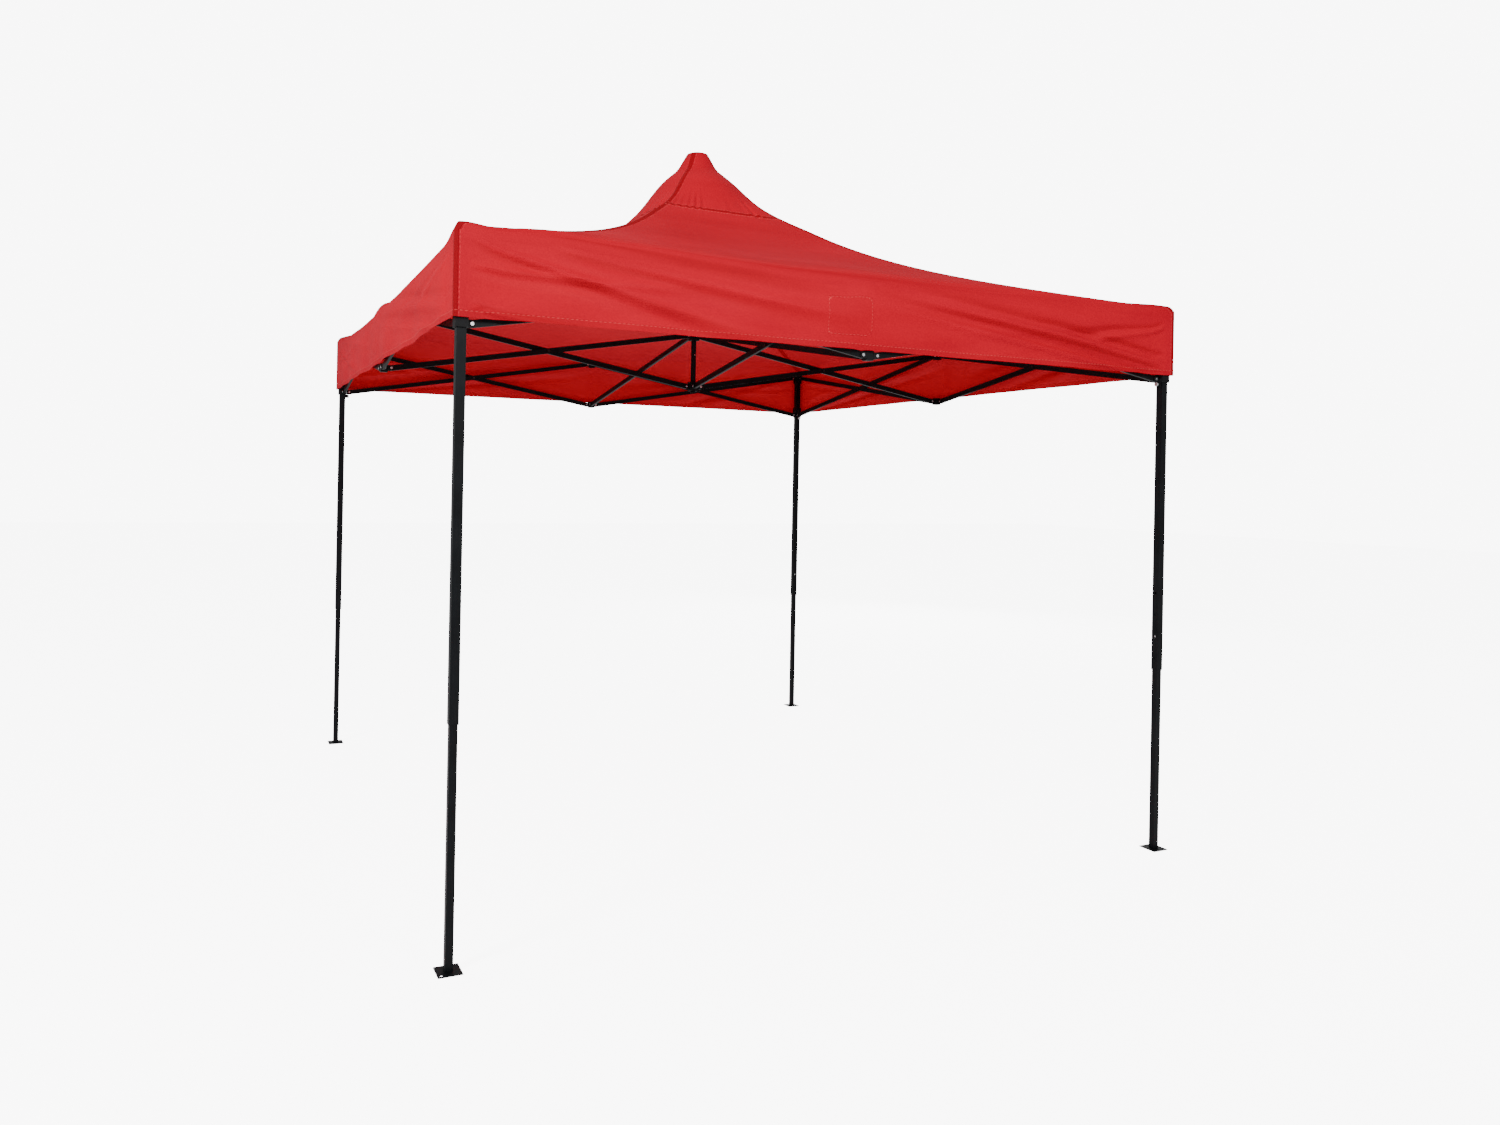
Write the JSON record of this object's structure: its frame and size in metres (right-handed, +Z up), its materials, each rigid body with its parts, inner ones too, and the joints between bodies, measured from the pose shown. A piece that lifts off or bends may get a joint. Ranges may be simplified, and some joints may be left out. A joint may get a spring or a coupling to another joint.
{
  "type": "pop-up canopy",
  "caption": "Square pop-up canopy: peaked cloth roof with hanging valance on a folding scissor-truss frame with telescoping legs and foot plates.",
  "frame": {"origin": "on the ground at the centre of the four feet", "axes": "+Z up, +X to the right and -Y towards the front, as seen from the front side"},
  "size_m": [3.016, 3.016, 3.0821],
  "materials": {
    "cloth": "coated woven polyester, slight sheen",
    "frame": "black hammered powder coat",
    "bracket": "moulded black nylon",
    "plated": "zinc plated"
  },
  "bodies": {
    "canopy": {"hub_upper": "bracket", "canopy_cover": "cloth"},
    "hub_lower": {"hub_lower": "bracket"},
    "peak_pole": {"peak_pole": "frame"},
    "front_mid_upper": {"front_mid_upper": "bracket"},
    "front_mid_lower": {"front_mid_lower": "bracket"},
    "front_inner_bar_upper": {"front_inner_bar_upper": "frame"},
    "front_inner_bar_lower": {"front_inner_bar_lower": "frame"},
    "front_bar_top_left": {"front_bar_top_left": "frame"},
    "front_bar_slider_left": {"front_bar_slider_left": "frame"},
    "front_bar_top_right": {"front_bar_top_right": "frame"},
    "front_bar_slider_right": {"front_bar_slider_right": "frame"},
    "right_mid_upper": {"right_mid_upper": "bracket"},
    "right_mid_lower": {"right_mid_lower": "bracket"},
    "right_inner_bar_upper": {"right_inner_bar_upper": "frame"},
    "right_inner_bar_lower": {"right_inner_bar_lower": "frame"},
    "right_bar_top_left": {"right_bar_top_left": "frame"},
    "right_bar_slider_left": {"right_bar_slider_left": "frame"},
    "right_bar_top_right": {"right_bar_top_right": "frame"},
    "right_bar_slider_right": {"right_bar_slider_right": "frame"},
    "back_mid_upper": {"back_mid_upper": "bracket"},
    "back_mid_lower": {"back_mid_lower": "bracket"},
    "back_inner_bar_upper": {"back_inner_bar_upper": "frame"},
    "back_inner_bar_lower": {"back_inner_bar_lower": "frame"},
    "back_bar_top_left": {"back_bar_top_left": "frame"},
    "back_bar_slider_left": {"back_bar_slider_left": "frame"},
    "back_bar_top_right": {"back_bar_top_right": "frame"},
    "back_bar_slider_right": {"back_bar_slider_right": "frame"},
    "left_mid_upper": {"left_mid_upper": "bracket"},
    "left_mid_lower": {"left_mid_lower": "bracket"},
    "left_inner_bar_upper": {"left_inner_bar_upper": "frame"},
    "left_inner_bar_lower": {"left_inner_bar_lower": "frame"},
    "left_bar_top_left": {"left_bar_top_left": "frame"},
    "left_bar_slider_left": {"left_bar_slider_left": "frame"},
    "left_bar_top_right": {"left_bar_top_right": "frame"},
    "left_bar_slider_right": {"left_bar_slider_right": "frame"},
    "front_left_leg": {"front_left_leg": "frame", "front_left_leg_top": "bracket"},
    "front_left_slider": {"front_left_slider": "bracket"},
    "front_left_slider_pin": {"front_left_slider_pin": "plated"},
    "front_left_lower_leg": {"front_left_lower_leg": "frame"},
    "front_left_leg_button": {"front_left_leg_button": "plated"},
    "front_right_leg": {"front_right_leg": "frame", "front_right_leg_top": "bracket"},
    "front_right_slider": {"front_right_slider": "bracket"},
    "front_right_slider_pin": {"front_right_slider_pin": "plated"},
    "front_right_lower_leg": {"front_right_lower_leg": "frame"},
    "front_right_leg_button": {"front_right_leg_button": "plated"},
    "back_right_leg": {"back_right_leg": "frame", "back_right_leg_top": "bracket"},
    "back_right_slider": {"back_right_slider": "bracket"},
    "back_right_slider_pin": {"back_right_slider_pin": "plated"},
    "back_right_lower_leg": {"back_right_lower_leg": "frame"},
    "back_right_leg_button": {"back_right_leg_button": "plated"},
    "back_left_leg": {"back_left_leg": "frame", "back_left_leg_top": "bracket"},
    "back_left_slider": {"back_left_slider": "bracket"},
    "back_left_slider_pin": {"back_left_slider_pin": "plated"},
    "back_left_lower_leg": {"back_left_lower_leg": "frame"},
    "back_left_leg_button": {"back_left_leg_button": "plated"}
  },
  "joints": [
    {"name": "frame_fold", "type": "hinge", "parent": "canopy", "child": "front_inner_bar_upper", "pos_m": [0.007, -0.035, 2.2], "axis": [1, 0, 0], "range_deg": [0, 75]},
    {"name": "front_inner_lower_end", "type": "hinge", "parent": "front_inner_bar_upper", "child": "front_mid_lower", "pos_m": [0.007, -1.44, 1.955], "axis": [1, 0, 0], "range_deg": [-75, 0]},
    {"name": "front_inner_cross", "type": "hinge", "parent": "front_inner_bar_upper", "child": "front_inner_bar_lower", "pos_m": [0, -0.7375, 2.0775], "axis": [1, 0, 0], "range_deg": [-150, 0]},
    {"name": "front_inner_upper_end", "type": "hinge", "parent": "front_inner_bar_lower", "child": "front_mid_upper", "pos_m": [-0.007, -1.44, 2.2], "axis": [1, 0, 0], "range_deg": [0, 75]},
    {"name": "hub_lower_pivot", "type": "hinge", "parent": "front_inner_bar_lower", "child": "hub_lower", "pos_m": [-0.007, -0.035, 1.955], "axis": [1, 0, 0], "range_deg": [0, 75]},
    {"name": "front_bar_top_left_middle", "type": "hinge", "parent": "front_mid_lower", "child": "front_bar_top_left", "pos_m": [-0.03, -1.477, 1.955], "axis": [0, 1, 0], "range_deg": [0, 75]},
    {"name": "front_cross_left", "type": "hinge", "parent": "front_bar_top_left", "child": "front_bar_slider_left", "pos_m": [-0.7325, -1.47, 2.0775], "axis": [0, 1, 0], "range_deg": [-150, 0]},
    {"name": "front_bar_top_right_middle", "type": "hinge", "parent": "front_mid_lower", "child": "front_bar_top_right", "pos_m": [0.03, -1.477, 1.955], "axis": [0, 1, 0], "range_deg": [-75, 0]},
    {"name": "front_cross_right", "type": "hinge", "parent": "front_bar_top_right", "child": "front_bar_slider_right", "pos_m": [0.7325, -1.47, 2.0775], "axis": [0, 1, 0], "range_deg": [0, 150]},
    {"name": "front_left_leg_pivot", "type": "hinge", "parent": "front_bar_top_left", "child": "front_left_leg", "pos_m": [-1.435, -1.477, 2.2], "axis": [0, 1, 0], "range_deg": [-75, 0]},
    {"name": "front_left_slider_pivot", "type": "hinge", "parent": "front_bar_slider_left", "child": "front_left_slider", "pos_m": [-1.435, -1.463, 1.955], "axis": [0, 1, 0], "range_deg": [0, 75]},
    {"name": "front_left_leg_extension", "type": "slide", "parent": "front_left_leg", "child": "front_left_lower_leg", "axis": [0, 0, 1], "range_m": [-0.09, 0.58]},
    {"name": "front_left_leg_button_press", "type": "slide", "parent": "front_left_lower_leg", "child": "front_left_leg_button", "axis": [0, -1, 0], "range_m": [0, 0.004], "stiffness_N_per_m": 1500, "springref_m": -0.003},
    {"name": "front_left_slider_pin_pull", "type": "slide", "parent": "front_left_slider", "child": "front_left_slider_pin", "axis": [0, 1, 0], "range_m": [0, 0.004], "stiffness_N_per_m": 1500, "springref_m": -0.003},
    {"name": "right_inner_upper_pivot", "type": "hinge", "parent": "canopy", "child": "right_inner_bar_upper", "pos_m": [0.035, 0.007, 2.2], "axis": [0, 1, 0], "range_deg": [0, 75]},
    {"name": "right_inner_lower_end", "type": "hinge", "parent": "right_inner_bar_upper", "child": "right_mid_lower", "pos_m": [1.44, 0.007, 1.955], "axis": [0, 1, 0], "range_deg": [-75, 0]},
    {"name": "right_inner_cross", "type": "hinge", "parent": "right_inner_bar_upper", "child": "right_inner_bar_lower", "pos_m": [0.7375, 0, 2.0775], "axis": [0, 1, 0], "range_deg": [-150, 0]},
    {"name": "right_inner_upper_end", "type": "hinge", "parent": "right_inner_bar_lower", "child": "right_mid_upper", "pos_m": [1.44, -0.007, 2.2], "axis": [0, 1, 0], "range_deg": [0, 75]},
    {"name": "right_bar_top_left_middle", "type": "hinge", "parent": "right_mid_lower", "child": "right_bar_top_left", "pos_m": [1.477, -0.03, 1.955], "axis": [-1, 0, 0], "range_deg": [0, 75]},
    {"name": "right_cross_left", "type": "hinge", "parent": "right_bar_top_left", "child": "right_bar_slider_left", "pos_m": [1.47, -0.7325, 2.0775], "axis": [-1, 0, 0], "range_deg": [-150, 0]},
    {"name": "right_bar_top_right_middle", "type": "hinge", "parent": "right_mid_lower", "child": "right_bar_top_right", "pos_m": [1.477, 0.03, 1.955], "axis": [-1, 0, 0], "range_deg": [-75, 0]},
    {"name": "right_cross_right", "type": "hinge", "parent": "right_bar_top_right", "child": "right_bar_slider_right", "pos_m": [1.47, 0.7325, 2.0775], "axis": [-1, 0, 0], "range_deg": [0, 150]},
    {"name": "front_right_leg_pivot", "type": "hinge", "parent": "right_bar_top_left", "child": "front_right_leg", "pos_m": [1.477, -1.435, 2.2], "axis": [-1, 0, 0], "range_deg": [-75, 0]},
    {"name": "front_right_slider_pivot", "type": "hinge", "parent": "right_bar_slider_left", "child": "front_right_slider", "pos_m": [1.463, -1.435, 1.955], "axis": [-1, 0, 0], "range_deg": [0, 75]},
    {"name": "front_right_leg_extension", "type": "slide", "parent": "front_right_leg", "child": "front_right_lower_leg", "axis": [0, 0, 1], "range_m": [-0.09, 0.58]},
    {"name": "front_right_leg_button_press", "type": "slide", "parent": "front_right_lower_leg", "child": "front_right_leg_button", "axis": [1, 0, 0], "range_m": [0, 0.004], "stiffness_N_per_m": 1500, "springref_m": -0.003},
    {"name": "front_right_slider_pin_pull", "type": "slide", "parent": "front_right_slider", "child": "front_right_slider_pin", "axis": [-1, 0, 0], "range_m": [0, 0.004], "stiffness_N_per_m": 1500, "springref_m": -0.003},
    {"name": "back_inner_upper_pivot", "type": "hinge", "parent": "canopy", "child": "back_inner_bar_upper", "pos_m": [-0.007, 0.035, 2.2], "axis": [-1, 0, 0], "range_deg": [0, 75]},
    {"name": "back_inner_lower_end", "type": "hinge", "parent": "back_inner_bar_upper", "child": "back_mid_lower", "pos_m": [-0.007, 1.44, 1.955], "axis": [-1, 0, 0], "range_deg": [-75, 0]},
    {"name": "back_inner_cross", "type": "hinge", "parent": "back_inner_bar_upper", "child": "back_inner_bar_lower", "pos_m": [0, 0.7375, 2.0775], "axis": [-1, 0, 0], "range_deg": [-150, 0]},
    {"name": "back_inner_upper_end", "type": "hinge", "parent": "back_inner_bar_lower", "child": "back_mid_upper", "pos_m": [0.007, 1.44, 2.2], "axis": [-1, 0, 0], "range_deg": [0, 75]},
    {"name": "back_bar_top_left_middle", "type": "hinge", "parent": "back_mid_lower", "child": "back_bar_top_left", "pos_m": [0.03, 1.477, 1.955], "axis": [0, -1, 0], "range_deg": [0, 75]},
    {"name": "back_cross_left", "type": "hinge", "parent": "back_bar_top_left", "child": "back_bar_slider_left", "pos_m": [0.7325, 1.47, 2.0775], "axis": [0, -1, 0], "range_deg": [-150, 0]},
    {"name": "back_bar_top_right_middle", "type": "hinge", "parent": "back_mid_lower", "child": "back_bar_top_right", "pos_m": [-0.03, 1.477, 1.955], "axis": [0, -1, 0], "range_deg": [-75, 0]},
    {"name": "back_cross_right", "type": "hinge", "parent": "back_bar_top_right", "child": "back_bar_slider_right", "pos_m": [-0.7325, 1.47, 2.0775], "axis": [0, -1, 0], "range_deg": [0, 150]},
    {"name": "back_right_leg_pivot", "type": "hinge", "parent": "back_bar_top_left", "child": "back_right_leg", "pos_m": [1.435, 1.477, 2.2], "axis": [0, -1, 0], "range_deg": [-75, 0]},
    {"name": "back_right_slider_pivot", "type": "hinge", "parent": "back_bar_slider_left", "child": "back_right_slider", "pos_m": [1.435, 1.463, 1.955], "axis": [0, -1, 0], "range_deg": [0, 75]},
    {"name": "back_right_leg_extension", "type": "slide", "parent": "back_right_leg", "child": "back_right_lower_leg", "axis": [0, 0, 1], "range_m": [-0.09, 0.58]},
    {"name": "back_right_leg_button_press", "type": "slide", "parent": "back_right_lower_leg", "child": "back_right_leg_button", "axis": [0, 1, 0], "range_m": [0, 0.004], "stiffness_N_per_m": 1500, "springref_m": -0.003},
    {"name": "back_right_slider_pin_pull", "type": "slide", "parent": "back_right_slider", "child": "back_right_slider_pin", "axis": [0, -1, 0], "range_m": [0, 0.004], "stiffness_N_per_m": 1500, "springref_m": -0.003},
    {"name": "left_inner_upper_pivot", "type": "hinge", "parent": "canopy", "child": "left_inner_bar_upper", "pos_m": [-0.035, -0.007, 2.2], "axis": [0, -1, 0], "range_deg": [0, 75]},
    {"name": "left_inner_lower_end", "type": "hinge", "parent": "left_inner_bar_upper", "child": "left_mid_lower", "pos_m": [-1.44, -0.007, 1.955], "axis": [0, -1, 0], "range_deg": [-75, 0]},
    {"name": "left_inner_cross", "type": "hinge", "parent": "left_inner_bar_upper", "child": "left_inner_bar_lower", "pos_m": [-0.7375, 0, 2.0775], "axis": [0, -1, 0], "range_deg": [-150, 0]},
    {"name": "left_inner_upper_end", "type": "hinge", "parent": "left_inner_bar_lower", "child": "left_mid_upper", "pos_m": [-1.44, 0.007, 2.2], "axis": [0, -1, 0], "range_deg": [0, 75]},
    {"name": "left_bar_top_left_middle", "type": "hinge", "parent": "left_mid_lower", "child": "left_bar_top_left", "pos_m": [-1.477, 0.03, 1.955], "axis": [1, 0, 0], "range_deg": [0, 75]},
    {"name": "left_cross_left", "type": "hinge", "parent": "left_bar_top_left", "child": "left_bar_slider_left", "pos_m": [-1.47, 0.7325, 2.0775], "axis": [1, 0, 0], "range_deg": [-150, 0]},
    {"name": "left_bar_top_right_middle", "type": "hinge", "parent": "left_mid_lower", "child": "left_bar_top_right", "pos_m": [-1.477, -0.03, 1.955], "axis": [1, 0, 0], "range_deg": [-75, 0]},
    {"name": "left_cross_right", "type": "hinge", "parent": "left_bar_top_right", "child": "left_bar_slider_right", "pos_m": [-1.47, -0.7325, 2.0775], "axis": [1, 0, 0], "range_deg": [0, 150]},
    {"name": "back_left_leg_pivot", "type": "hinge", "parent": "left_bar_top_left", "child": "back_left_leg", "pos_m": [-1.477, 1.435, 2.2], "axis": [1, 0, 0], "range_deg": [-75, 0]},
    {"name": "back_left_slider_pivot", "type": "hinge", "parent": "left_bar_slider_left", "child": "back_left_slider", "pos_m": [-1.463, 1.435, 1.955], "axis": [1, 0, 0], "range_deg": [0, 75]},
    {"name": "back_left_leg_extension", "type": "slide", "parent": "back_left_leg", "child": "back_left_lower_leg", "axis": [0, 0, 1], "range_m": [-0.09, 0.58]},
    {"name": "back_left_leg_button_press", "type": "slide", "parent": "back_left_lower_leg", "child": "back_left_leg_button", "axis": [-1, 0, 0], "range_m": [0, 0.004], "stiffness_N_per_m": 1500, "springref_m": -0.003},
    {"name": "back_left_slider_pin_pull", "type": "slide", "parent": "back_left_slider", "child": "back_left_slider_pin", "axis": [1, 0, 0], "range_m": [0, 0.004], "stiffness_N_per_m": 1500, "springref_m": -0.003},
    {"name": "peak_pole_slide", "type": "slide", "parent": "canopy", "child": "peak_pole", "axis": [0, 0, 1], "range_m": [-0.8, 0]}
  ],
  "couplings": [
    {"joint": "front_inner_lower_end", "follows": "frame_fold", "ratio": -1},
    {"joint": "front_inner_cross", "follows": "frame_fold", "ratio": -2},
    {"joint": "front_inner_upper_end", "follows": "frame_fold", "ratio": 1},
    {"joint": "hub_lower_pivot", "follows": "frame_fold", "ratio": 1},
    {"joint": "front_bar_top_left_middle", "follows": "frame_fold", "ratio": 1},
    {"joint": "front_cross_left", "follows": "frame_fold", "ratio": -2},
    {"joint": "front_bar_top_right_middle", "follows": "frame_fold", "ratio": -1},
    {"joint": "front_cross_right", "follows": "frame_fold", "ratio": 2},
    {"joint": "front_left_leg_pivot", "follows": "frame_fold", "ratio": -1},
    {"joint": "front_left_slider_pivot", "follows": "frame_fold", "ratio": 1},
    {"joint": "right_inner_upper_pivot", "follows": "frame_fold", "ratio": 1},
    {"joint": "right_inner_lower_end", "follows": "frame_fold", "ratio": -1},
    {"joint": "right_inner_cross", "follows": "frame_fold", "ratio": -2},
    {"joint": "right_inner_upper_end", "follows": "frame_fold", "ratio": 1},
    {"joint": "right_bar_top_left_middle", "follows": "frame_fold", "ratio": 1},
    {"joint": "right_cross_left", "follows": "frame_fold", "ratio": -2},
    {"joint": "right_bar_top_right_middle", "follows": "frame_fold", "ratio": -1},
    {"joint": "right_cross_right", "follows": "frame_fold", "ratio": 2},
    {"joint": "front_right_leg_pivot", "follows": "frame_fold", "ratio": -1},
    {"joint": "front_right_slider_pivot", "follows": "frame_fold", "ratio": 1},
    {"joint": "back_inner_upper_pivot", "follows": "frame_fold", "ratio": 1},
    {"joint": "back_inner_lower_end", "follows": "frame_fold", "ratio": -1},
    {"joint": "back_inner_cross", "follows": "frame_fold", "ratio": -2},
    {"joint": "back_inner_upper_end", "follows": "frame_fold", "ratio": 1},
    {"joint": "back_bar_top_left_middle", "follows": "frame_fold", "ratio": 1},
    {"joint": "back_cross_left", "follows": "frame_fold", "ratio": -2},
    {"joint": "back_bar_top_right_middle", "follows": "frame_fold", "ratio": -1},
    {"joint": "back_cross_right", "follows": "frame_fold", "ratio": 2},
    {"joint": "back_right_leg_pivot", "follows": "frame_fold", "ratio": -1},
    {"joint": "back_right_slider_pivot", "follows": "frame_fold", "ratio": 1},
    {"joint": "left_inner_upper_pivot", "follows": "frame_fold", "ratio": 1},
    {"joint": "left_inner_lower_end", "follows": "frame_fold", "ratio": -1},
    {"joint": "left_inner_cross", "follows": "frame_fold", "ratio": -2},
    {"joint": "left_inner_upper_end", "follows": "frame_fold", "ratio": 1},
    {"joint": "left_bar_top_left_middle", "follows": "frame_fold", "ratio": 1},
    {"joint": "left_cross_left", "follows": "frame_fold", "ratio": -2},
    {"joint": "left_bar_top_right_middle", "follows": "frame_fold", "ratio": -1},
    {"joint": "left_cross_right", "follows": "frame_fold", "ratio": 2},
    {"joint": "back_left_leg_pivot", "follows": "frame_fold", "ratio": -1},
    {"joint": "back_left_slider_pivot", "follows": "frame_fold", "ratio": 1},
    {"joint": "peak_pole_slide", "follows": "frame_fold", "m_per_rad": -0.6}
  ]
}
